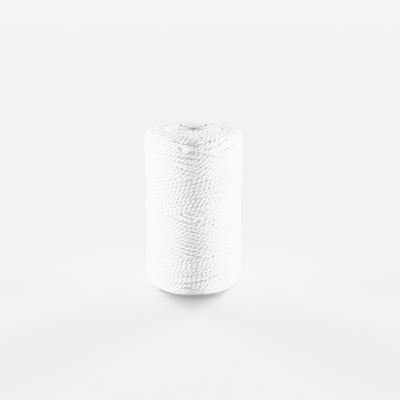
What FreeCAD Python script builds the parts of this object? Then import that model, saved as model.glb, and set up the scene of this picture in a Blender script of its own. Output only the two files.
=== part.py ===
import FreeCAD, Part
import math
import os

# Waxed thread spool: a flangeless cop of thread, standing on the end of its thin paper tube.
# Millimetres, +Z up. The origin is on the tube's axis, at the base that the tube stands on.

# Paper tube, wound from three plies
tube_length = 50.0
bore_diameter = 6.6
liner_thickness = 0.2
board_thickness = 0.4
wrap_thickness = 0.1

# Thread package: its ends slope away from the tube as shallow cones, and its shoulders are round
package_diameter = 28.5
end_setback = 0.3  # how far the tube stands out of the winding at each end
top_cone_drop = 1.3
bottom_cone_rise = 1.8
top_shoulder_radius = 1.3
bottom_shoulder_radius = 2.6

# Thread, and the turns of its outer layer
thread_diameter = 1.1
thread_sides = 6  # flats of the swept section; a rounder one would not show at this size
turns = 22
core_clearance = 0.1  # between the outer turns and the layers under them
shoulder_wrap_angle = 40.0  # how far round each shoulder the turns reach, in degrees

# The turns lean one way and then the other up the package, as the crosswise traverse leaves them
lean_sway = 1.1  # how far a leaning turn rises and falls from its mean height
lean_band_height = 25.6  # from one band of turns to the next that leans the same way
lean_front_height = 28.0  # where the turns at the front rise most steeply to the right

# Both ends of the outer turns are tucked into the package
ends_angle = 90.0  # where round the package they are, in degrees
end_bend_ratio = 1.5  # radius of the bend at a tucked end, in thread diameters
pocket_clearance = 0.2  # round a tucked end

gap_step = 0.4  # between the points on which the gap between the turns is measured

# Radii that follow
bore_radius = bore_diameter / 2
board_inner_radius = bore_radius + liner_thickness
board_outer_radius = board_inner_radius + board_thickness
tube_radius = board_outer_radius + wrap_thickness
package_radius = package_diameter / 2
thread_radius = thread_diameter / 2
turn_radius = package_radius - thread_radius
core_radius = turn_radius - thread_radius - core_clearance
end_bend_radius = end_bend_ratio * thread_diameter

# Heights of the core's corners before they are rounded
top_slope = top_cone_drop / (package_radius - tube_radius)
bottom_slope = bottom_cone_rise / (package_radius - tube_radius)
core_bottom = end_setback
core_top = tube_length - end_setback
bottom_corner = core_bottom + bottom_slope * (core_radius - tube_radius)
top_corner = core_top - top_slope * (core_radius - tube_radius)


def vector(x, y, z):
    return FreeCAD.Vector(x, y, z)


def shoulder_rise(shoulder_radius, slope):
    """The height from a core's corner to the centre of the arc that rounds it."""
    return shoulder_radius * (math.hypot(1, slope) - slope)


bottom_centre = bottom_corner + shoulder_rise(bottom_shoulder_radius, bottom_slope)
top_centre = top_corner - shoulder_rise(top_shoulder_radius, top_slope)
bottom_reach = bottom_shoulder_radius + core_clearance + thread_radius
top_reach = top_shoulder_radius + core_clearance + thread_radius
lowest_turn = bottom_centre - bottom_reach * math.sin(math.radians(shoulder_wrap_angle))
highest_turn = top_centre + top_reach * math.sin(math.radians(shoulder_wrap_angle))


def tube_ply(inner_radius, outer_radius):
    """One ply of the paper tube, as long as the tube and cut square."""
    outside = Part.makeCylinder(outer_radius, tube_length)
    inside = Part.makeCylinder(inner_radius, tube_length)
    return outside.cut(inside)


def lay(height):
    """The radius of the thread's centre line at a height, and the normal of the core there, as (out, up)."""
    if height < bottom_centre:
        rise, reach, shoulder = height - bottom_centre, bottom_reach, bottom_shoulder_radius
    elif height > top_centre:
        rise, reach, shoulder = height - top_centre, top_reach, top_shoulder_radius
    else:
        return turn_radius, (1, 0)
    up = rise / reach
    out = math.sqrt(1 - up * up)
    return core_radius - shoulder + reach * out, (out, up)


def turn_height(angle):
    """The height of the thread after it has turned through angle, in degrees from its start."""
    share = angle / (360 * turns)
    mean = lowest_turn + share * (highest_turn - lowest_turn)
    steadiness = 1 - (2 * share - 1) ** 4  # the lean fades out towards both shoulders
    from_front = math.radians(angle + ends_angle + 90)
    band = 2 * math.pi * (mean - lean_front_height) / lean_band_height
    return mean + lean_sway * steadiness * math.sin(from_front + band)


def turn_point(angle):
    radius = lay(turn_height(angle))[0]
    around = math.radians(angle + ends_angle)
    return vector(radius * math.cos(around), radius * math.sin(around), turn_height(angle))


class Station:
    """A point that the thread passes, with its direction there and the way out of the core."""

    def __init__(self, angle):
        around = math.radians(angle + ends_angle)
        out, up = lay(turn_height(angle))[1]
        self.point = turn_point(angle)
        self.outward = vector(out * math.cos(around), out * math.sin(around), up)
        self.along = turn_point(min(angle + 0.1, 360 * turns)) - turn_point(max(angle - 0.1, 0))
        self.along -= self.outward * self.along.dot(self.outward)
        self.along.normalize()


def arc_between(start, corner, end):
    """The arc from start to end whose end tangents meet at corner."""
    middle = (start + end) * 0.5
    half_chord = (end - start).Length / 2
    half_angle = math.acos(half_chord / (corner - start).Length)
    share = math.tan(half_angle / 2) / math.tan(half_angle)
    return Part.Arc(start, middle + (corner - middle) * share, end).toShape()


def biarc(start, end):
    """Two arcs between stations that keep both directions and share a tangent where they join."""
    span = end.point - start.point
    both = start.along + end.along
    square = both.dot(both) - 4
    linear = -2 * span.dot(both)
    root = math.sqrt(linear * linear - 4 * square * span.dot(span))
    reach = (-linear - root) / (2 * square)
    first_corner = start.point + start.along * reach
    last_corner = end.point - end.along * reach
    joint = (first_corner + last_corner) * 0.5
    return [arc_between(start.point, first_corner, joint), arc_between(joint, last_corner, end.point)]


def end_floor(station, way):
    """Where a tucked end stands. way is -1 where the thread starts and 1 where it ends."""
    down = station.outward * (end_bend_radius + thread_diameter)
    return station.point + station.along * (way * end_bend_radius) - down


def tucked_end(station, way):
    """The bend, and the straight run one thread diameter long, from a station down to its floor."""
    corner = station.point + station.along * (way * end_bend_radius)
    low = corner - station.outward * end_bend_radius
    return [
        arc_between(station.point, corner, low),
        Part.LineSegment(low, end_floor(station, way)).toShape(),
    ]


def end_pocket(station, way):
    """The slot that a tucked end goes into. Its flat floor is square to the end that stands on it."""
    width = thread_diameter + 2 * pocket_clearance
    floor = end_floor(station, way)
    length = station.along * (-way * end_bend_radius)
    side = station.outward.cross(station.along) * (width / 2)
    base = [floor - side, floor + length - side, floor + length + side, floor + side, floor - side]
    middle = Part.Face(Part.makePolygon(base)).extrude(station.outward * package_radius)
    rounds = [
        Part.makeCylinder(width / 2, package_radius, centre, station.outward)
        for centre in (floor, floor + length)
    ]
    return middle.fuse(rounds).removeSplitter()


def shoulder_arc(centre_height, radius, slope, side):
    """The arc that rounds a core's corner, from the flank to the cone. side is 1 on top and -1 below."""
    centre = vector(core_radius - radius, 0, centre_height)
    whole = math.pi / 2 - math.atan(slope)
    points = [
        centre + vector(math.cos(turn), 0, side * math.sin(turn)) * radius
        for turn in (0, whole / 2, whole)
    ]
    return Part.Arc(*points).toShape(), points


def make_winding_core(first, last):
    """The inner layers as one body: coned ends, round shoulders, and a pocket for each tucked end."""
    low_arc, low = shoulder_arc(bottom_centre, bottom_shoulder_radius, bottom_slope, -1)
    high_arc, high = shoulder_arc(top_centre, top_shoulder_radius, top_slope, 1)
    foot = vector(tube_radius, 0, core_bottom)
    head = vector(tube_radius, 0, core_top)
    straight = [(foot, low[-1]), (low[0], high[0]), (high[-1], head), (head, foot)]
    lines = [Part.LineSegment(start, end).toShape() for start, end in straight]
    outline = Part.Wire([lines[0], low_arc, lines[1], high_arc, lines[2], lines[3]])
    body = Part.Face(outline).revolve(vector(0, 0, 0), vector(0, 0, 1), 360)
    return body.cut([end_pocket(first, -1), end_pocket(last, 1)])


def turns_route(stations):
    """The centre line of the outer turns as one wire, from one tucked end to the other."""
    edges = tucked_end(stations[0], -1)[::-1]
    for start, end in zip(stations, stations[1:]):
        edges += biarc(start, end)
    return Part.Wire(edges + tucked_end(stations[-1], 1))


def thread_section(station):
    """The thread's outline where its first end stands, square to the straight run."""
    floor = end_floor(station, -1)
    across = station.outward.cross(station.along)
    corners = []
    for i in range(thread_sides + 1):
        turn = 2 * math.pi * (i % thread_sides) / thread_sides
        corners.append(floor + (station.along * math.cos(turn) + across * math.sin(turn)) * thread_radius)
    return Part.makePolygon(corners)


def least_gap(route):
    """The least gap between stretches of the thread that lie over half a turn apart."""
    points = route.discretize(Distance=gap_step)
    apart = int(math.pi * turn_radius / gap_step)
    cell = 2 * thread_diameter
    cells = {}
    for index, point in enumerate(points):
        key = (int(point.x // cell), int(point.y // cell), int(point.z // cell))
        cells.setdefault(key, []).append(index)
    least = package_diameter
    around = [(i, j, k) for i in (-1, 0, 1) for j in (-1, 0, 1) for k in (-1, 0, 1)]
    for (x, y, z), members in cells.items():
        near = [n for i, j, k in around for n in cells.get((x + i, y + j, z + k), [])]
        for first in members:
            for other in near:
                if other - first > apart:
                    least = min(least, points[first].distanceToPoint(points[other]))
    return least - thread_diameter


def main():
    stations = [Station(360 * i / 4) for i in range(4 * turns + 1)]
    route = turns_route(stations)
    outer_turns = route.makePipeShell([thread_section(stations[0])], True, False)
    parts = {
        "tube_liner": tube_ply(bore_radius, board_inner_radius),
        "tube_board": tube_ply(board_inner_radius, board_outer_radius),
        "tube_wrap": tube_ply(board_outer_radius, tube_radius),
        "winding_core": make_winding_core(stations[0], stations[-1]),
        "outer_turns": outer_turns,
    }
    os.makedirs("parts", exist_ok=True)
    for name, shape in parts.items():
        shape.exportStep("parts/" + name + ".step")
        print(name, "volume", round(shape.Volume, 2), "valid", shape.isValid())

    section_area = thread_sides / 2 * thread_radius**2 * math.sin(2 * math.pi / thread_sides)
    swept = outer_turns.Volume / section_area / route.Length
    print("thread in the outer turns", round(route.Length, 1), "in", turns, "turns")
    print("their volume over section times length", round(swept, 5))
    print("least gap of the turns to themselves", round(least_gap(route), 3))
    print("overlap of the turns and the core", round(outer_turns.common(parts["winding_core"]).Volume, 5))


main()
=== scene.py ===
# %% [markdown]
# # A waxed thread spool
# This lesson dresses a plain CAD model of a cop of white waxed thread. A cop has no flanges: one long
# thread is wound crosswise on a thin paper tube until the winding is the body that we see.
# We load the CAD model first and keep its box, because nothing that we add may change its size.

# %% Load the CAD model
import bpy
import math
import numpy as np
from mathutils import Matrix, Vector


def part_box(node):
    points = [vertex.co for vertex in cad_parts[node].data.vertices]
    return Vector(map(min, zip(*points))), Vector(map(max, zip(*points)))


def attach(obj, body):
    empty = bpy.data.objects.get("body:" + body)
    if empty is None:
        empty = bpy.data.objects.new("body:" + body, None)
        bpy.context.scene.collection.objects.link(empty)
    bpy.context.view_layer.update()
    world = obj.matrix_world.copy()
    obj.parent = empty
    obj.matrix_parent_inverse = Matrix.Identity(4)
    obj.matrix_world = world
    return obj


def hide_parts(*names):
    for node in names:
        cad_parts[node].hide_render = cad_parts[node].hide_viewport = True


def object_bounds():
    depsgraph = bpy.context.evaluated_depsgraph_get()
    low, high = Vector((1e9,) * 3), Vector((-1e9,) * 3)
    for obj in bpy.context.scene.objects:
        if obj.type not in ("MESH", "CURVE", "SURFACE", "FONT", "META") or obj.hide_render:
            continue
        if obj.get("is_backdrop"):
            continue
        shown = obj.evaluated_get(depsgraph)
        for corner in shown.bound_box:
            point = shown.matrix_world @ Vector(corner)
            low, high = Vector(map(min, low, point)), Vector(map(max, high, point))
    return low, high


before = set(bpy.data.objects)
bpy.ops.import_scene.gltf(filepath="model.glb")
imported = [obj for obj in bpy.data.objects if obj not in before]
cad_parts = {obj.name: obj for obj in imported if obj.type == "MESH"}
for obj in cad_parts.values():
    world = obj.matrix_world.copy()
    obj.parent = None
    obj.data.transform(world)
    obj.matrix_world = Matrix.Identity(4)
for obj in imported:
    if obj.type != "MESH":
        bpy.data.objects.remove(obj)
cad_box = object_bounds()
print("nodes", sorted(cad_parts))
print("CAD box, in metres", [[round(value, 5) for value in corner] for corner in cad_box])

# %% [markdown]
# ## Sizes
# The winding is worked out in millimetres, which suit a thread of 1.1 mm. What the CAD model already knows
# is read from its boxes, so both models follow one set of sizes. Only what a box can't tell is written here:
# how far the ends of the package slope, and how round its shoulders are.

# %% Sizes of the tube, the package and the thread, in millimetres
mm = 0.001
tube_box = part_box("tube_wrap")
core_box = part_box("winding_core")
turns_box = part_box("outer_turns")
tube_radius = tube_box[1].x / mm
tube_length = tube_box[1].z / mm
package_radius = turns_box[1].x / mm
end_setback = core_box[0].z / mm

top_cone_drop = 1.3
bottom_cone_rise = 1.8
top_shoulder = 1.95
bottom_shoulder = 3.25

thread_radius = 0.56
lay_length = 4.0  # along the thread, for one full turn of its three plies
print("tube radius", round(tube_radius, 3), "package radius", round(package_radius, 3), "length", tube_length)


# %% [markdown]
# ## The camera
# The photograph looks down on the spool by about 16 degrees, from a quarter of a metre away. A lens of
# 75 mm on a 36 mm sensor shows the spool as large as it is there. The aim is a little to the right of the
# axis and above the middle, because the spool stands left of the picture's centre and reaches lower in it.

# %% Put the camera where the photographer stood
view_elevation = math.radians(15.6)
view_distance = 250 * mm
view_aim = Vector((1.94, 0, 27.4)) * mm

camera_data = bpy.data.cameras.new("camera")
camera_data.lens = 75
camera_data.sensor_width = 36
camera_data.clip_start = 10 * mm
camera = bpy.data.objects.new("camera", camera_data)
bpy.context.scene.collection.objects.link(camera)
camera.location = (
    0,
    -view_distance * math.cos(view_elevation),
    tube_length / 2 * mm + view_distance * math.sin(view_elevation),
)
camera.rotation_euler = (view_aim - camera.location).to_track_quat("-Z", "Y").to_euler()
bpy.context.scene.camera = camera
print("camera at", [round(value, 4) for value in camera.location])


# %% [markdown]
# ## The outline of the package
# Seen from the side, the finished package is a cylinder. Its two ends fall away from the tube as shallow
# cones, and its shoulders are round, since a thread can't be laid on a sharp edge. One function gives the
# heights of both ends at any radius. The winding uses it at each stage of its growth.

# %% Write the outline as a function
def end_heights(radius):
    """The heights of the lower and the upper end of the package at a radius."""
    share = (radius - tube_radius) / (package_radius - tube_radius)
    low = end_setback + bottom_cone_rise * share
    high = tube_length - end_setback - top_cone_drop * share
    low_over = np.clip(radius - package_radius + bottom_shoulder, 0, bottom_shoulder)
    high_over = np.clip(radius - package_radius + top_shoulder, 0, top_shoulder)
    low = low + bottom_shoulder - np.sqrt(bottom_shoulder**2 - low_over**2)
    high = high - top_shoulder + np.sqrt(top_shoulder**2 - high_over**2)
    return low, high


outline_radii = tube_radius + (package_radius - tube_radius) * np.sin(np.linspace(0, math.pi / 2, 400))
outline_low, outline_high = end_heights(outline_radii)


def outline_radius(height):
    """The radius of the finished package at a height."""
    from_below = np.interp(height, outline_low, outline_radii)
    from_above = np.interp(-height, -outline_high, outline_radii)
    return np.minimum(from_below, from_above)


print("radius at 2, 25 and 48 mm", np.round(outline_radius(np.array([2, 25, 48])), 2))


# %% [markdown]
# ## How a cop is wound
# The tube spins while a guide carries the thread up and down along it. We could draw crossed lines on a
# cylinder instead, but the over and under of real strands, the bands where they lean one way, and the
# rounded heaps where the guide turns back would all be missing. So the script winds the cop as the machine
# does. A map holds the radius of the package's surface at every angle and height. Each new length of thread
# rests on that map and then raises it.

# %% The surface map, and a smoothing helper
around_cells = 512
height_cells = 400
cell_angle = 2 * math.pi / around_cells
cell_height = tube_length / height_cells
surface = np.full((around_cells, height_cells), tube_radius)
chance = np.random.default_rng(7)


def cell_of(angle, height):
    """The cells of the map at angles and heights."""
    column = np.round(angle / cell_angle).astype(int) % around_cells
    row = np.clip((height / cell_height).astype(int), 0, height_cells - 1)
    return column, row


def smooth(values, reach, step):
    """Values along the thread, averaged with a bell-shaped weight that reaches so many millimetres."""
    count = int(3 * reach / step)
    weight = np.exp(-0.5 * (np.arange(-count, count + 1) * step / reach) ** 2)
    return np.convolve(np.pad(values, count, mode="edge"), weight / weight.sum(), mode="valid")


print("a cell is", round(cell_angle * package_radius, 3), "by", round(cell_height, 3), "mm on the outside")

# %% [markdown]
# ## The guide's path
# One cycle of the guide is a stroke up and a stroke down while the tube makes four turns and a little more.
# That little more sets each cycle one thread's width beside the one before. It is what closes the
# surface and makes the broad bands of strands that lean the same way. The guide can't turn back in no time,
# so near each end of the stroke the path leaves its straight line little by little. An exponential does
# that with one number, the rounding. A winder would shake the guide there so that no ridge grows. Here the
# path takes whichever of a few roundings fills the lowest place.

# %% The path of one cycle
turns_in_cycle = 4
strand_pitch = 1.1
roundings = (1.4, 1.7, 2.1, 2.6, 3.2)  # how far short of its corner the path turns back
overshoot = 1.1  # how far the corners of the path lie beyond the package's ends
looked_at = 0.3  # turns on both sides of a corner that are looked at for the lowest place
end_depth = 2.5  # how far from its end a package still counts as end, beside the rounding
whim = 0.15  # of the winder, in choosing a rounding
cell_middles = (np.arange(height_cells) + 0.5) * cell_height
full_radius = outline_radius(cell_middles)


def short_of_corner(distance, rounding):
    """How far a rounded path is from its corner where a straight one has gone a distance."""
    return distance + rounding * np.exp(-distance / rounding)


def best_rounding(angle, end, side, rise, radius):
    """The rounding that lays the thread where the package is lowest against its outline."""
    way = np.linspace(-looked_at, looked_at, 121)
    least_cost, best = math.inf, None
    for rounding in roundings:
        height = end - side * short_of_corner(rise * np.abs(way), rounding)
        column, row = cell_of(angle + 2 * math.pi * way, height)
        near = np.abs(height - end) < rounding + end_depth
        excess = surface[column, row] - np.minimum(full_radius[row], radius)
        cost = excess[near].mean() + whim * chance.random()
        if cost < least_cost:
            least_cost, best = cost, rounding
    return best


def cycle_path(start_angle, radius, step, start_rounding):
    """Angles and heights of one cycle at a radius, and the rounding that it ends with."""
    low, high = end_heights(min(radius, package_radius - thread_radius))
    low, high = low - overshoot, high + overshoot
    rise = (high - low) / 2
    tilt = math.atan(rise / (2 * math.pi * radius))
    turns = turns_in_cycle + strand_pitch / (rise * math.cos(tilt))
    half = turns / 2
    rise = (high - low) / half
    count = int(math.hypot(2 * math.pi * radius * turns, 2 * (high - low)) / step)
    turn = (np.arange(count) + 0.5) / count * turns
    way = half - np.abs(turn - half)
    top = best_rounding(start_angle + half * 2 * math.pi, high, 1, rise, radius)
    low_end = best_rounding(start_angle + turns * 2 * math.pi, low, -1, rise, radius)
    foot = np.where(turn < half, start_rounding, low_end)
    from_low, from_high = rise * way, rise * (half - way)
    height = low + short_of_corner(from_low, foot) + from_high - short_of_corner(from_high, top)
    return start_angle + turn * 2 * math.pi, height, low_end


# %% [markdown]
# ## Laying the thread
# A thread that is laid across others slides a little to the nearest hollow, bridges the gaps between them
# and bends over what it crosses. For each stretch of half a turn we look up how high the package is under
# several places beside the path, let the thread slide to the lowest, and take its height from what is
# under it there. Then the stretch is printed into the map as a round ridge.

# %% Rest a stretch of thread on the map
thread_half_width = 0.56
thread_half_height = 0.52
resting_offsets = np.linspace(-0.46, 0.46, 9)  # to the side, where others can hold the thread up
ridge_offsets = np.linspace(-0.55, 0.55, 15)  # to the side, where the thread raises the map
slides = np.linspace(-0.1, 0.1, 5)  # to the side, that the thread chooses from
sinking = 0.06  # how far a tight thread presses into the ones under it
bridging = 0.3  # share of a taut string's height above the hollows that the waxed thread keeps
most_bridging = 0.25


def bulge(offset):
    """How high the round thread stands above its centre line, that far to the side."""
    return thread_half_height * np.sqrt(1 - (offset / thread_half_width) ** 2)


class Stretch:
    """A stretch of the path, with the direction to its side on the unrolled package."""

    def __init__(self, angle, height, side_around, side_up, radius):
        self.angle, self.height = angle, height
        self.side_around, self.side_up = side_around, side_up
        self.radius = radius

    def part(self, first, last):
        """The points of this stretch from first up to last."""
        cut = slice(first, last)
        sides = self.side_around[cut], self.side_up[cut]
        return Stretch(self.angle[cut], self.height[cut], *sides, self.radius)

    def beside(self, offset):
        """Angles and heights at offsets to the side, one row for each point of the stretch."""
        angle = self.angle[:, None] + self.side_around[:, None] * offset
        height = self.height[:, None] + self.side_up[:, None] * offset
        return angle, height

    def support(self, slide):
        """The radius at which the thread's centre line rests when it has slid so far."""
        offset = resting_offsets + np.reshape(slide, (-1, 1))
        return (surface[cell_of(*self.beside(offset))] + bulge(resting_offsets)).max(1) - sinking


def whole_stretch(angle, height, radius):
    """A path as one stretch. Its sides are measured on the package, unrolled at a radius."""
    along_around = np.gradient(angle) * radius
    along_up = np.gradient(height)
    length = np.hypot(along_around, along_up)
    return Stretch(angle, height, -along_up / length / radius, along_around / length, radius)


def taut_string(distance, height, curve):
    """The height of a string that is pulled tight over heights, on a drum that curves away by curve."""
    falling = height - curve * distance**2 / 2
    held = []
    for index in range(len(distance)):
        while len(held) > 1:
            first, last = held[-2], held[-1]
            ahead = (falling[last] - falling[first]) * (distance[index] - distance[first])
            if ahead > (falling[index] - falling[first]) * (distance[last] - distance[first]):
                break
            held.pop()
        held.append(index)
    return np.interp(distance, distance[held], falling[held]) + curve * distance**2 / 2


# %% [markdown]
# ## Winding
# Now the machine runs. The package grows cycle by cycle until its flank has the outline's radius. No machine
# is exact, so the thread wanders a little off its path, with numbers that are the same in every run. A
# stretch is printed into the map only after the next one has been laid, so that the thread never climbs on
# its own last half turn.

# %% Small chance changes along the thread
wander_count, wander_softness = 4096, 3.0
wander = chance.normal(size=wander_count)
wander = smooth(np.tile(wander, 3), wander_softness, 1.0)[wander_count:2 * wander_count]
wander /= wander.std()
cycle_shift = 0.01  # of a whole cycle, up or down
path_wander = 0.03  # of the thread within a cycle
path_wander_length = 4.0


def wandering(place, length):
    """Slow changes at places along the thread, with one new value for each length of it."""
    return np.interp(place / length, np.arange(wander_count), wander, period=wander_count)


print("the thread wanders by up to", round(path_wander * np.abs(wander).max(), 2), "mm")


# %% Lay one stretch
look_ahead = 8.0  # along the thread, past the stretch that is laid
choice_reach, slide_reach, resting_reach = 1.2, 2.5, 0.8  # over which the stiff thread evens things out
slide_cost = 0.5  # so that it slides only where that pays


def lay_stretch(path, first, last, step, last_slide, last_radius):
    """Lays the points first to last of a path. Gives their slides and their radii."""
    ahead = path.part(first, min(last + int(look_ahead / step), len(path.angle)))
    count = len(ahead.angle)
    costs = [smooth(ahead.support(slide) + slide_cost * slide**2, choice_reach, step) for slide in slides]
    wanted = slides[np.argmin(costs, axis=0)]
    before = np.full(int(3 * slide_reach / step), last_slide)
    slide = smooth(np.concatenate([before, wanted]), slide_reach, step)[-count:]
    support = ahead.support(slide)
    distance = np.arange(count + 1) * step
    curve = (ahead.side_up[0] ** 2) / ahead.radius
    taut = taut_string(distance, np.concatenate([[last_radius], support]), curve)[1:]
    resting = smooth(support, resting_reach, step)
    radius = resting + np.clip((taut - resting) * bridging, 0, most_bridging)
    return slide[:last - first], radius[:last - first]


# %% Wind the whole thread
wound_radius = package_radius - 0.3  # of the flank's ridges and grooves together, when the package is full
longest_step = 0.19  # between the points of the thread
most_cells = 1.2  # of the map in a step, so that the ridge has no holes
flank_start_share, flank_end_share = 0.2, 0.8  # of the height, between which the package is measured
first_rounding = 1.0


def wind():
    """Winds the package. Gives the angle, height and radius of the thread, and its distance along itself."""
    laid, waiting = [], None
    start_angle, rounding, distance = 0.0, first_rounding, 0.0
    last_slide, last_radius = 0.0, tube_radius + thread_half_height
    middle = slice(int(height_cells * flank_start_share), int(height_cells * flank_end_share))
    while surface[:, middle].mean() < wound_radius:
        radius = surface[:, middle].mean() + thread_half_height
        step = min(longest_step, most_cells * radius * cell_angle)
        angle, height, rounding = cycle_path(start_angle, radius, step, rounding)
        start_angle = angle[-1] + (angle[1] - angle[0]) / 2
        places = distance + np.arange(len(angle)) * step
        distance = places[-1] + step
        height = height + cycle_shift * chance.normal()
        height = height + path_wander * wandering(places, path_wander_length)
        path = whole_stretch(angle, height, radius)
        block = int(math.pi * radius / step)
        for first in range(0, len(angle), block):
            last = min(first + block, len(angle))
            slide, rested = lay_stretch(path, first, last, step, last_slide, last_radius)
            last_slide, last_radius = slide[-1], rested[-1]
            piece = path.part(first, last)
            around, up = piece.beside(slide[:, None])
            laid.append(np.stack([around[:, 0], up[:, 0], rested, places[first:last]]))
            if waiting is not None:
                np.maximum.at(surface, *waiting)
            ridge = cell_of(*piece.beside(slide[:, None] + ridge_offsets))
            waiting = (ridge, rested[:, None] + bulge(ridge_offsets))
    return np.concatenate(laid, axis=1)


turn_of_winding = math.radians(-86.5)  # brings the bands that the photograph shows to the front

strand_angle, strand_height, strand_radius, strand_place = wind()
strand_angle = strand_angle + turn_of_winding
print("thread wound", round(strand_place[-1] / 1000, 2), "m in", len(strand_place), "points")

# %% [markdown]
# No loose end shows in the photograph, so the thread is cut where it last passes the middle of the back.

# %% Cut the thread off at the back
flank_half = 15.0  # how far above and below the middle the cut may be
at_back = np.sin(strand_angle) > 0.99  # within 8 degrees of it
on_flank = np.abs(strand_height - tube_length / 2) < flank_half
end = np.flatnonzero(at_back & on_flank)[-1]
strand_angle, strand_height = strand_angle[:end], strand_height[:end]
strand_radius, strand_place = strand_radius[:end], strand_place[:end]
print("thread kept", round(strand_place[-1] / 1000, 2), "m, cut at height", round(strand_height[-1], 1))

# %% [markdown]
# ## Press the package into its outline
# The machine presses the growing package with a roller, which keeps it smooth. Our winding has no roller,
# so it comes out a little lumpy. We imagine a block inside the package and look straight out from it. Every
# look meets the outline at one place, and a reach says how far out something lies. In these terms the flank,
# the shoulders and the ends are all one skin, so one method can smooth them all.

# %% One skin for flank, shoulders and ends
corner_depth = 5.0  # the ring inside each shoulder, which the shoulder is looked at from
corner_radius = package_radius - corner_depth
low_corner = bottom_cone_rise + corner_depth
high_corner = tube_length - top_cone_drop - corner_depth

flank = np.linspace(outline_low[-1], outline_high[-1], 400)[1:-1]
profile_radius = np.concatenate([outline_radii, np.full(len(flank), package_radius), outline_radii[::-1]])
profile_height = np.concatenate([outline_low, flank, outline_high[::-1]])
profile_steps = np.hypot(np.diff(profile_radius), np.diff(profile_height))
profile_place = np.concatenate([[0], np.cumsum(profile_steps)])


def look_from(radius, height):
    """The place along the block that each point lies straight out from, and how far out it lies."""
    base_radius = np.minimum(radius, corner_radius)
    base_height = np.clip(height, low_corner, high_corner)
    reach = np.hypot(radius - base_radius, height - base_height)
    direction = np.arctan2(height - base_height, radius - base_radius)
    beyond = np.sign(height - base_height) * (corner_radius - base_radius)
    return corner_depth * direction + base_height + beyond, reach


profile_look, profile_reach = look_from(profile_radius, profile_height)
place_cells = 272
place_cell = profile_place[-1] / place_cells
place_middles = (np.arange(place_cells) + 0.5) * place_cell
goal_reach = np.interp(place_middles, profile_place, profile_reach)


def to_skin(radius, height):
    """The place along the outline, and the reach from the block inside, of radii and heights."""
    look, reach = look_from(radius, height)
    return np.interp(look, profile_look, profile_place), reach


def from_skin(place, reach):
    """Radii and heights of places and reaches."""
    look = np.interp(place, profile_place, profile_look)
    base_height = np.clip(look, low_corner, high_corner)
    beyond = look - base_height
    direction = np.clip(beyond / corner_depth, -math.pi / 2, math.pi / 2)
    base_radius = corner_radius - np.abs(beyond - corner_depth * direction)
    return base_radius + reach * np.cos(direction), base_height + reach * np.sin(direction)


print("length of the outline from tube to tube", round(profile_place[-1], 1), "mm")


# %% Print the thread into a map of the skin
round_top = 0.9  # a pressed thread's top is this share of a circle's, before the root
spots = np.linspace(-0.5, 0.5, 5)


def dots(angle, place, reach, radius):
    """For each of 25 spots on the thread's round top, the cells that it covers and its reach there."""
    for across in spots:
        for up in spots:
            column = np.round((angle + across / radius) / cell_angle).astype(int) % around_cells
            row = np.clip(((place + up) / place_cell).astype(int), 0, place_cells - 1)
            below_top = thread_radius**2 - across**2 - up**2
            if below_top > 0:
                yield (column, row), reach + math.sqrt(below_top * round_top)


def skin_of(angle, place, reach, radius):
    """The farthest reach of the thread over every cell."""
    skin = np.zeros((around_cells, place_cells))
    for cells, top in dots(angle, place, reach, radius):
        np.maximum.at(skin, cells, top)
    return skin


# %% Smooth the map, and read it
relief_around, relief_along = 3.0, 1.2  # what is finer than this is relief, and no lump


def blur(grid, around, along):
    """A map averaged over so many millimetres round the package and along its outline."""
    turns = np.fft.fftfreq(around_cells) * 2 * math.pi / (cell_angle * package_radius)
    soft = np.fft.ifft(np.fft.fft(grid, axis=0) * np.exp(-(turns * around) ** 2 / 2)[:, None], axis=0).real
    return np.array([smooth(line, along, place_cell) for line in soft])


def smooth_skin(skin):
    """The skin without its fine relief. Empty cells take their level from the cells around them."""
    covered = blur(skin > 0, relief_around, relief_along)
    return blur(skin, relief_around, relief_along) / np.maximum(covered, 0.01)


def read_map(grid, angle, place):
    """The value of a map between its cells."""
    column = angle / cell_angle
    row = np.clip(place / place_cell - 0.5, 0, place_cells - 1.001)
    left, low = np.floor(column).astype(int), row.astype(int)
    right_share, high_share = column - left, row - low

    def along_column(number):
        cells = number % around_cells
        return grid[cells, low] * (1 - high_share) + grid[cells, low + 1] * high_share

    return along_column(left) * (1 - right_share) + along_column(left + 1) * right_share


# %% [markdown]
# Every move is worked out from smoothed maps, so strands that lie together move together and their crossings
# stay as they were laid. On the ends, where the guide turned back, ridges and furrows are left. There the
# strands first slide downhill, a little at a time.

# %% Spread the ridges on the ends
spreads = 5
spread_share, most_spread = 0.5, 0.4
spread_around, spread_along = 4.0, 0.8  # over which neighbours move together
spread_fade = 2.0  # inside the flank, where the spreading ends
edge_margin = 0.6  # between the last strands and the ends of the outline
even_step = 0.15
evening_of_place, evening_of_reach = 2.5, 0.5  # along the thread


def even_out(values, reach):
    """Values along the whole thread, smoothed at even steps."""
    even = np.arange(0, strand_place[-1], even_step)
    evened = smooth(np.interp(even, strand_place, values), reach, even_step)
    return np.interp(strand_place, even, evened)


flank_start = np.interp(low_corner, profile_look, profile_place)
flank_end = np.interp(high_corner, profile_look, profile_place)
beyond_flank = np.maximum(flank_start - place_middles, place_middles - flank_end)
end_share = np.clip(beyond_flank / spread_fade + 1, 0, 1)

skin_place, skin_reach = to_skin(strand_radius, strand_height)
skin_place = even_out(skin_place, evening_of_place)
skin_reach = even_out(skin_reach, evening_of_reach)
laid_place = skin_place
for _ in range(spreads):
    level = smooth_skin(skin_of(strand_angle, skin_place, skin_reach, strand_radius)) - goal_reach
    slope = np.gradient(level, place_cell, axis=1)
    push = np.clip(-slope * end_share * spread_share, -most_spread, most_spread)
    push = blur(push, spread_around, spread_along)
    skin_place = skin_place + read_map(push, strand_angle, skin_place)
    skin_place = np.clip(skin_place, edge_margin, profile_place[-1] - edge_margin)
skin = skin_of(strand_angle, skin_place, skin_reach, strand_radius)
print("strands on the ends moved by up to", round(np.abs(skin_place - laid_place).max(), 1), "mm")

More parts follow.
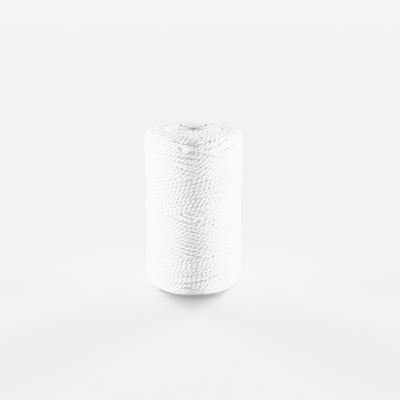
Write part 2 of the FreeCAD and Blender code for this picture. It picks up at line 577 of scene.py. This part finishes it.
# %% [markdown]
# Now the roller. A strand on top gets its outer side on the outline. One that others cross lies deeper, by
# less than half of what the machine left, so the surface is close and no dark gaps open between the rows.
# A little of the lumps is kept, since a real package has some too. The thread's last end dives under its
# neighbours.

# %% Roll the strands onto the outline
kept_depth = 0.42  # share of how deep a strand lies under those that cross it
kept_lumps, most_lump = 0.35, 0.12
depth_reach, lump_reach = 0.7, 1.0  # along the thread
tucked_length, tucked_depth = 9.0, 2.2  # of the thread's last end

top_of_centre = thread_radius * math.sqrt(round_top)
column = np.round(strand_angle / cell_angle).astype(int) % around_cells
row = (skin_place / place_cell).astype(int)
depth = even_out(skin[column, row] - skin_reach - top_of_centre, depth_reach)
from_end = strand_place[-1] - strand_place
depth += tucked_depth * np.clip(1 - from_end / tucked_length, 0, 1) ** 2
lumps = most_lump * np.tanh(kept_lumps * (smooth_skin(skin) - goal_reach) / most_lump)
lump = even_out(read_map(lumps, strand_angle, skin_place), lump_reach)
goal = np.interp(skin_place, profile_place, profile_reach)
skin_reach = goal - thread_half_height - kept_depth * depth + lump
skin = skin_of(strand_angle, skin_place, skin_reach, strand_radius)
print("lumps after pressing, in mm", round((smooth_skin(skin) - goal_reach).std(), 2))

# %% Back to radii and heights
strand_radius, strand_height = from_skin(skin_place, skin_reach)
lowest_strand = end_setback + thread_half_height
strand_height = np.clip(strand_height, lowest_strand, tube_length - lowest_strand)
print("strands from height", round(strand_height.min(), 2), "to", round(strand_height.max(), 2))

# %% [markdown]
# ## Keep what shows
# Twenty metres of modelled thread would be millions of faces, and most of it is buried. A stretch shows
# where its own top comes near the skin. Each such run is made a little longer at both ends, so that it ends
# under the strands that cross it.

# %% Find the runs that show
show_depth = 0.45  # how far under the skin a strand can still be seen between others
ring_step = 0.38
widened, narrowed = 6, 3  # rings, so gaps between runs close and each run grows by the difference
fewest_rings = 5

shows = np.full(len(strand_place), -math.inf)
for cells, top in dots(strand_angle, skin_place, skin_reach, strand_radius):
    shows = np.maximum(shows, top - skin[cells])

ring_place = np.arange(ring_step, strand_place[-1], ring_step)
ring_angle = np.interp(ring_place, strand_place, strand_angle)
ring_radius = np.interp(ring_place, strand_place, strand_radius)
ring_height = np.interp(ring_place, strand_place, strand_height)
ring_outline = np.interp(ring_place, strand_place, skin_place)
ring_shows = np.interp(ring_place, strand_place, shows) > -show_depth


def widen(mask, count):
    """A mask that also holds so many neighbours on both sides."""
    return np.convolve(mask, np.ones(2 * count + 1), mode="same") > 0.5


joined = ~widen(~widen(ring_shows, widened), narrowed)
edges = np.flatnonzero(np.diff(np.concatenate([[0], joined.astype(int), [0]])))
runs = [(first, last) for first, last in zip(edges[::2], edges[1::2]) if last - first > fewest_rings]
ring_total = sum(last - first for first, last in runs)
print("runs", len(runs), "with", ring_total, "rings,", round(ring_total * ring_step / 1000, 2), "m of thread")

# %% [markdown]
# ## Model the thread
# The thread has three plies twisted round each other, and their grooves show even at arm's length. A round
# tube with a bump map would lose its knobbly edge against the light. So each ring of the tube has three
# lobes, and each ring is turned a little further than the last one, as the twist goes. The turning keeps
# each row of faces on its own ply, so twelve corners for a ring are enough.

# %% Rings of the three-ply thread
crest, flank_of_ply, groove = 0.575, 0.52, 0.38
ply_shape = np.tile([crest, flank_of_ply, groove, flank_of_ply], 3)
corners = len(ply_shape)
corner_angle = np.arange(corners) * 2 * math.pi / corners
flattening = 0.92  # the wound thread is pressed flat, less thick than wide
widening = 1.28
squareness = 3  # of the outline that it is pressed into: 2 would be round


def unit(vectors):
    """Vectors of length one, one in each row."""
    return vectors / np.linalg.norm(vectors, axis=1, keepdims=True)


ring_around = np.stack([np.cos(ring_angle), np.sin(ring_angle)], axis=1)
ring_centre = np.column_stack([ring_around * ring_radius[:, None], ring_height])
ring_along = unit(np.gradient(ring_centre, axis=0))
profile_out = np.gradient(profile_height, profile_place)
profile_up = -np.gradient(profile_radius, profile_place)
out_share = np.interp(ring_outline, profile_place, profile_out)
up_share = np.interp(ring_outline, profile_place, profile_up)
ring_out = np.column_stack([ring_around * out_share[:, None], up_share])
ring_out = unit(ring_out - ring_along * (ring_out * ring_along).sum(1, keepdims=True))
ring_side = np.cross(ring_out, ring_along)

uneven_twist, uneven_length = 0.05, 25.0
twist_rate = 2 * math.pi / lay_length * (1 + uneven_twist * wandering(ring_place, uneven_length))
ring_twist = np.cumsum(ring_step * twist_rate)
print("turns of the plies in the whole thread", int(ring_twist[-1] / 2 / math.pi))

# %% [markdown]
# A face knows nothing of the thread that it is on, so its corners get places on two maps. One runs along the
# thread, and the fibres follow it. The other holds every face once, in rows with room between them, so that
# the thread's colours can be baked into a picture.

# %% Maps for the thread
map_gap = 0.6  # room between the strips of the bake map
cap_size = 0.1


def add_map(mesh, name, places):
    """Give every corner of a mesh's faces its place on a map."""
    mesh.uv_layers.new(name=name).data.foreach_set("uv", places.astype(np.float32).ravel())


def add_thread_maps(mesh, rings, cap_count):
    """A map that runs along the thread, for its fibres, and one with every face side by side, for baking."""
    ring_share = np.arange(corners + 1) / corners
    left, right = ring_share[:-1], ring_share[1:]
    around_share = np.stack([left, left, right, right], axis=1)
    along_share = np.tile([0, 1, 1, 0], (corners, 1))
    girth = 2 * math.pi * thread_radius

    turned = np.stack([ring_twist[rings], ring_twist[rings + 1]], axis=1)[:, along_share[0]] / (2 * math.pi)
    along = ring_place[rings][:, None, None] + along_share * ring_step
    around = (around_share + turned[:, None, :]) * girth
    fibres = np.stack([along, around], axis=-1).reshape(-1, 2) * mm

    strip_width = girth + map_gap
    in_row = math.ceil(math.sqrt(len(rings) * strip_width / ring_step))
    rows = math.ceil(len(rings) / in_row) + 1
    number = np.arange(len(rings))[:, None, None]
    across = (number % in_row + along_share) * ring_step
    upward = number // in_row * strip_width + around_share * girth
    baked = np.stack([across, upward], axis=-1).reshape(-1, 2)
    size = max(in_row * ring_step, rows * strip_width)

    cap_across = (np.arange(cap_count) + 0.5) / cap_count * in_row * ring_step
    cap_ring = np.stack([np.cos(corner_angle), np.sin(corner_angle)], axis=1) * cap_size
    cap_middle = np.stack([cap_across, np.full(cap_count, (rows - 0.5) * strip_width)], axis=1)
    cap_map = (cap_middle[:, None] + cap_ring).reshape(-1, 2)

    add_map(mesh, "fibres", np.concatenate([fibres, cap_map * mm]))
    add_map(mesh, "OFBake", np.concatenate([baked, cap_map]) / size)


# %% Build a mesh from some of the runs
def thread_piece(name, its_runs):
    """One mesh with the runs of thread from its_runs."""
    rings = np.concatenate([np.arange(first, last) for first, last in its_runs])
    turn = ring_twist[rings, None] + corner_angle
    square_sum = np.abs(np.cos(turn)) ** squareness + np.abs(np.sin(turn)) ** squareness
    pressed_shape = ply_shape * square_sum ** (-1 / squareness)
    out = (np.cos(turn) * pressed_shape * flattening)[..., None] * ring_out[rings, None]
    side = (np.sin(turn) * pressed_shape * widening)[..., None] * ring_side[rings, None]
    vertices = (ring_centre[rings, None] + out + side).reshape(-1, 3) * mm

    follows = np.diff(rings) == 1
    start = np.flatnonzero(follows)[:, None] * corners
    here = np.arange(corners)
    after = (here + 1) % corners
    quads = np.stack([start + here, start + corners + here, start + corners + after, start + after], axis=2)
    run_ends = np.flatnonzero(~follows)
    first_rings = np.concatenate([[0], run_ends + 1]) * corners
    last_rings = np.concatenate([run_ends, [len(rings) - 1]]) * corners
    caps = [list(ring + here) for ring in first_rings] + [list(ring + here[::-1]) for ring in last_rings]

    mesh = bpy.data.meshes.new(name)
    mesh.from_pydata(vertices, [], quads.reshape(-1, 4).tolist() + caps)
    mesh.polygons.foreach_set("use_smooth", np.ones(len(mesh.polygons), dtype=bool))
    crest_share = np.tile((ply_shape - groove) / (crest - groove), len(rings)).astype(np.float32)
    mesh.attributes.new("crest", "FLOAT", "POINT").data.foreach_set("value", crest_share)
    add_thread_maps(mesh, rings[:-1][follows], len(caps))
    mesh.update()
    piece = bpy.data.objects.new(name, mesh)
    bpy.context.scene.collection.objects.link(piece)
    return piece


# %% Cut the thread into a few meshes, from the deepest runs to the last laid
rings_in_mesh = 8000  # keeps each mesh, and its picture when it is baked, to a handy size
groups, count = [[]], 0
for run in runs:
    if count + run[1] - run[0] > rings_in_mesh:
        groups.append([])
        count = 0
    groups[-1].append(run)
    count += run[1] - run[0]

thread_pieces = [thread_piece(f"thread_layers_{number}", group) for number, group in enumerate(groups, 1)]
for piece in thread_pieces:
    print(piece.name, len(piece.data.polygons), "faces")
    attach(piece, "root")
    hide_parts("outer_turns")

# %% [markdown]
# ## The layers underneath
# Between the outer strands one glimpses older layers. Winding them too would cost faces that nobody sees.
# So a closed body, half a thread under the skin, stands for them. It has the whole form of the winding:
# coned ends, round shoulders and the hole for the tube. Its outline is the package's own, moved inward and
# turned round the axis.

# %% Outline of the inner layers
inner_depth = 0.48
inner_columns, inner_rows = 192, 130
hole_radius = tube_radius + 0.02  # just clear of the tube

inner_place = np.linspace(0, profile_place[-1], inner_rows)
inner_reach = np.interp(inner_place, profile_place, profile_reach) - inner_depth
inner_radius, inner_height = from_skin(inner_place, inner_reach)
level_radii = np.concatenate([[hole_radius], np.maximum(inner_radius, hole_radius), [hole_radius]])
level_heights = np.concatenate([inner_height[:1], inner_height, inner_height[-1:]])
levels = len(level_radii)
print("inner layers from height", round(level_heights.min(), 2), "to", round(level_heights.max(), 2))

# %% Turn the outline round the axis
inner_turn = np.arange(inner_columns) / inner_columns * 2 * math.pi
inner_vertices = np.stack([
    np.outer(level_radii, np.cos(inner_turn)),
    np.outer(level_radii, np.sin(inner_turn)),
    np.outer(level_heights, np.ones(inner_columns)),
], axis=-1).reshape(-1, 3) * mm
level = np.arange(levels)[:, None] * inner_columns
above = np.roll(level, -1, axis=0)
here = np.arange(inner_columns)
after = (here + 1) % inner_columns
inner_faces = np.stack([level + here, level + after, above + after, above + here], axis=-1).reshape(-1, 4)

inner_mesh = bpy.data.meshes.new("inner_layers")
inner_mesh.from_pydata(inner_vertices, [], inner_faces.tolist())
inner_mesh.polygons.foreach_set("use_smooth", np.ones(len(inner_faces), dtype=bool))
inner_mesh.update()
inner_layers = bpy.data.objects.new("inner_layers", inner_mesh)
bpy.context.scene.collection.objects.link(inner_layers)
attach(inner_layers, "root")
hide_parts("winding_core")
print("inner layers", len(inner_faces), "faces")

# %% Maps for the inner layers
grid_across = np.stack([here, here + 1, here + 1, here], axis=1) / inner_columns
grid_upward = (np.arange(levels)[:, None] + np.array([0, 0, 1, 1])) / levels
grid_map = np.stack(np.broadcast_arrays(grid_across, grid_upward[:, None]), axis=-1).reshape(-1, 2)
add_map(inner_mesh, "fibres", grid_map * (2 * math.pi * package_radius * mm, tube_length * mm))
add_map(inner_mesh, "OFBake", grid_map)
print("maps of the inner layers", [layer.name for layer in inner_mesh.uv_layers])

# %% [markdown]
# ## Waxed thread
# The thread is bleached and waxed: near white, slightly warm, with a soft sheen and fine fibres along it.
# The grooves between the plies are painted a little darker, as painted shade for the shade that falls there.
# A picture of the thread could show all this, but it would blur in close views. So each corner of a ring
# knows how near it is to the crest of its ply, which mixes the white with the painted groove shade, a little
# noise mottles the white, and stretched noise on the map that follows the thread makes the fibres.

# %% A new material
def new_material(name):
    """A material with its nodes, its links and its shader."""
    material = bpy.data.materials.new(name)
    material.use_nodes = True
    nodes, links = material.node_tree.nodes, material.node_tree.links
    return material, nodes, links, nodes["Principled BSDF"]


def ramp_of(nodes, low_place, low_colour, high_place, high_colour):
    """A ramp from one colour to another between two places."""
    ramp = nodes.new("ShaderNodeValToRGB")
    ends = ramp.color_ramp.elements
    ends[0].position, ends[0].color = low_place, (*low_colour, 1)
    ends[1].position, ends[1].color = high_place, (*high_colour, 1)
    return ramp


def noise_of(nodes, scale, detail):
    """Soft noise, with so many patches to a metre."""
    noise = nodes.new("ShaderNodeTexNoise")
    noise.inputs["Scale"].default_value = scale
    noise.inputs["Detail"].default_value = detail
    return noise


# %% The thread's colours
crest_colour = (0.94, 0.938, 0.925)
# Painted shade: the grooves between the plies get this darker colour, for the shade that falls in them.
groove_painted_shade = (0.81, 0.805, 0.785)
wax_patches = 250  # to a metre of thread
wax_mottle = 0.4

waxed_thread, nodes, links, shader = new_material("waxed_thread")
shader.inputs["Roughness"].default_value = 0.5
shader.inputs["Specular IOR Level"].default_value = 0.4
fibre_map = nodes.new("ShaderNodeUVMap")
fibre_map.uv_map = "fibres"
wax_noise = noise_of(nodes, wax_patches, 2)
links.new(fibre_map.outputs["UV"], wax_noise.inputs["Vector"])
crest_place = nodes.new("ShaderNodeAttribute")
crest_place.attribute_name = "crest"
# The crest share plus a little noise: low values give the painted groove shade, the noise a mottle in the
# white.
groove_shade_and_mottle = nodes.new("ShaderNodeMath")
groove_shade_and_mottle.operation = "MULTIPLY_ADD"
groove_shade_and_mottle.inputs[1].default_value = wax_mottle
links.new(wax_noise.outputs["Fac"], groove_shade_and_mottle.inputs[0])
links.new(crest_place.outputs["Fac"], groove_shade_and_mottle.inputs[2])
thread_colours = ramp_of(nodes, 0.15, groove_painted_shade, 0.95, crest_colour)
links.new(groove_shade_and_mottle.outputs["Value"], thread_colours.inputs["Fac"])
links.new(thread_colours.outputs["Color"], shader.inputs["Base Color"])
print("thread from", groove_painted_shade, "in the grooves to", crest_colour, "on the crests")

# %% The thread's fibres
stretch = nodes.new("ShaderNodeMapping")
stretch.inputs["Scale"].default_value = (600, 9000, 1)  # patches to a metre along the thread and across it
links.new(fibre_map.outputs["UV"], stretch.inputs["Vector"])
fibre_noise = noise_of(nodes, 1, 3)
links.new(stretch.outputs["Vector"], fibre_noise.inputs["Vector"])
bump = nodes.new("ShaderNodeBump")
bump.inputs["Strength"].default_value = 0.35
bump.inputs["Distance"].default_value = 0.04 * mm
links.new(fibre_noise.outputs["Fac"], bump.inputs["Height"])
links.new(bump.outputs["Normal"], shader.inputs["Normal"])
# The inner layers have no crest attribute, so the ramp gives them nearly the groove colour: painted shade for
# the older layers seen deep between the strands.
for piece in thread_pieces + [inner_layers]:
    piece.data.materials.append(waxed_thread)
print("pieces of waxed thread", len(thread_pieces) + 1)

# %% [markdown]
# ## The paper tube
# The tube's three plies stay as the CAD model has them. Only their ends and the bore show: a white lining, a
# line of board, and the outer ply that the thread grips. The board is grey board painted near black, and the
# white
# outer ply is painted grey: painted shade for the shadow in the narrow gap between tube and thread, which
# draws the dark ring round the bore. A printed picture would be too coarse for a ring as thin as this. Paper
# gets a faint mottle from noise, and board gets the specks of its cut fibres.

# %% The papers
def paper(name, low_colour, high_colour, grain, depth):
    """Matte paper between two colours, with a grain so many millimetres wide."""
    material, nodes, links, shader = new_material(name)
    shader.inputs["Roughness"].default_value = 0.8
    shader.inputs["Specular IOR Level"].default_value = 0.25
    place = nodes.new("ShaderNodeTexCoord")
    noise = noise_of(nodes, 1 / (grain * mm), 4)
    links.new(place.outputs["Object"], noise.inputs["Vector"])
    ramp = ramp_of(nodes, 0.35, low_colour, 0.65, high_colour)
    links.new(noise.outputs["Fac"], ramp.inputs["Fac"])
    links.new(ramp.outputs["Color"], shader.inputs["Base Color"])
    bump = nodes.new("ShaderNodeBump")
    bump.inputs["Distance"].default_value = depth * mm
    links.new(noise.outputs["Fac"], bump.inputs["Height"])
    links.new(bump.outputs["Normal"], shader.inputs["Normal"])
    return material


papers = {
    "tube_liner": paper("liner_paper", (0.90, 0.895, 0.88), (0.95, 0.945, 0.93), 0.5, 0.01),
    # Grey board's own colour, darkened to near black as painted shade for the gap round the bore.
    "tube_board": paper("tube_board", (0.06, 0.058, 0.055), (0.14, 0.135, 0.13), 0.15, 0.03),
    # Painted shade: the white outer ply is painted grey for its shaded wall beside the thread.
    "tube_wrap": paper("wrap_paper", (0.40, 0.395, 0.385), (0.50, 0.49, 0.48), 0.5, 0.01),
}
for node, material in papers.items():
    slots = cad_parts[node].data.materials
    if len(slots):
        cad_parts[node].material_slots[0].material = material
    else:
        slots.append(material)
    print(node, "is now", material.name)

# %% [markdown]
# ## Floor and light
# The photograph is a white studio: a pale floor that runs out of the picture, and so much light from both
# sides that the flanks burn out to white. Less light comes from the front, which is why the thread shows
# best in a grey strip down the spool's middle. We use four broad lamps far away at the sides and the back,
# and a world that is darker towards the camera's side. The side lamps stand low, so they light the spool
# and hardly the floor, where they would cast long shadows.

# %% The floor
floor_reach = 4.0
floor_grey = 0.82

floor_mesh = bpy.data.meshes.new("floor")
floor_corners = [(-1, -1, 0), (1, -1, 0), (1, 1, 0), (-1, 1, 0)]
floor_mesh.from_pydata([Vector(corner) * floor_reach for corner in floor_corners], [], [(0, 1, 2, 3)])
floor = bpy.data.objects.new("floor", floor_mesh)
bpy.context.scene.collection.objects.link(floor)
floor_paint, nodes, links, shader = new_material("floor_paint")
shader.inputs["Base Color"].default_value = (floor_grey, floor_grey, floor_grey, 1)
shader.inputs["Roughness"].default_value = 0.9
shader.inputs["Specular IOR Level"].default_value = 0.1
floor_mesh.materials.append(floor_paint)
floor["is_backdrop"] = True
print("floor", 2 * floor_reach, "m wide")

# %% The white room, darker towards the front
front_light = 0.575  # of the room's light at the sides and the back
front_end, side_start = -0.4, 0.2  # where the change ends and starts, as shares of the way to the back

world = bpy.data.worlds.new("studio")
bpy.context.scene.world = world
world.use_nodes = True
nodes, links = world.node_tree.nodes, world.node_tree.links
looking = nodes.new("ShaderNodeTexCoord")
towards_back = nodes.new("ShaderNodeVectorMath")
towards_back.operation = "DOT_PRODUCT"
towards_back.inputs[1].default_value = (0, 1, 0)
links.new(looking.outputs["Generated"], towards_back.inputs[0])
room = nodes.new("ShaderNodeMapRange")
room.interpolation_type = "SMOOTHSTEP"
room.inputs["From Min"].default_value = front_end
room.inputs["From Max"].default_value = side_start
room.inputs["To Min"].default_value = front_light
room.inputs["To Max"].default_value = 1
links.new(towards_back.outputs["Value"], room.inputs["Value"])
links.new(room.outputs["Result"], nodes["Background"].inputs["Strength"])
nodes["Background"].inputs["Color"].default_value = (1, 1, 1, 1)
print("light from the front", front_light, "of the room's")

# %% The lamps
lamp_distance = 8.0
lamp_width = 1.6


def soft_light(name, azimuth, elevation, height, power):
    """A broad lamp at an azimuth from the camera's side, that faces the spool."""
    data = bpy.data.lights.new(name, "AREA")
    data.shape = "RECTANGLE"
    data.size = lamp_width
    data.size_y = height
    data.energy = power
    light = bpy.data.objects.new(name, data)
    bpy.context.scene.collection.objects.link(light)
    turn, lift = math.radians(azimuth), math.radians(elevation)
    middle = Vector((0, 0, tube_length / 2 * mm))
    away = Vector((math.sin(turn) * math.cos(lift), -math.cos(turn) * math.cos(lift), math.sin(lift)))
    light.location = middle + away * lamp_distance
    light.rotation_euler = (middle - light.location).to_track_quat("-Z", "Y").to_euler()
    print(name, power, "W at", azimuth, "degrees round and", elevation, "up")


soft_light("left_light", -91, 2, 0.5, 1250)
soft_light("right_light", 91, 2, 0.5, 1250)
soft_light("back_left_light", -138, 30, 1.6, 180)
soft_light("back_right_light", 138, 30, 1.6, 180)

# %% [markdown]
# The photograph shows the bore quite white, but hardly any of the room's light gets into so small a hole. A
# brighter lining would need paper whiter than white, so a narrow beam from above the camera lights it.

# %% A narrow light into the bore
beam_length = 0.3
beam_lift = math.radians(40)

bore_data = bpy.data.lights.new("bore_light", "SPOT")
bore_data.energy = 1.3
bore_data.spot_size = math.radians(1)
bore_data.spot_blend = 0.5
bore_data.shadow_soft_size = 1 * mm
bore_light = bpy.data.objects.new("bore_light", bore_data)
bpy.context.scene.collection.objects.link(bore_light)
into_bore = Vector((0, 1, tube_length)) * mm
bore_light.location = into_bore + Vector((0, -math.cos(beam_lift), math.sin(beam_lift))) * beam_length
bore_light.rotation_euler = (into_bore - bore_light.location).to_track_quat("-Z", "Y").to_euler()
print("beam", round(beam_length * bore_data.spot_size / mm, 1), "mm wide at the bore")

# %% [markdown]
# ## The tone curve
# With so much light the flanks would be one flat white. A camera keeps a trace of what is there, because its
# answer to light bends over little by little. So does this curve: it is straight up to its knee, and from
# there it comes ever closer to the brightest white but never gets there.

# %% Bend the bright end of the picture
knee, brightest = 0.76, 0.985
whitest_light = 3.0
curve_lights = (0.4, knee, 0.8, 0.85, 0.9, 0.95, 1.0, 1.07, 1.15, 1.25, 1.4, 1.6, 1.9, 2.3)


def toned(light):
    """The brightness that the picture gives to a light."""
    over = max(light - knee, 0) / (brightest - knee)
    return min(light, knee) + (brightest - knee) * over / (1 + over)


view = bpy.context.scene.view_settings
view.view_transform = "Standard"
view.use_curve_mapping = True
view.curve_mapping.white_level = (whitest_light, whitest_light, whitest_light)
tone = view.curve_mapping.curves[3]
tone.points[0].location = (0, 0)
tone.points[1].location = (1, toned(whitest_light))
for light in curve_lights:
    tone.points.new(light / whitest_light, toned(light))
view.curve_mapping.update()
print("a light of 1 becomes", round(toned(1), 3), "and one of 2 becomes", round(toned(2), 3))

# %% [markdown]
# ## The boxes
# The boxes before and after are printed side by side. The thread may not make the spool any
# larger.

# %% Print the boxes and finish
dressed_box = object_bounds()
boxes = {
    "cad": [list(corner) for corner in cad_box],
    "visual": [list(corner) for corner in dressed_box],
}
for name, box in boxes.items():
    print(name, "box, in mm", [[round(value / mm, 2) for value in corner] for corner in box])
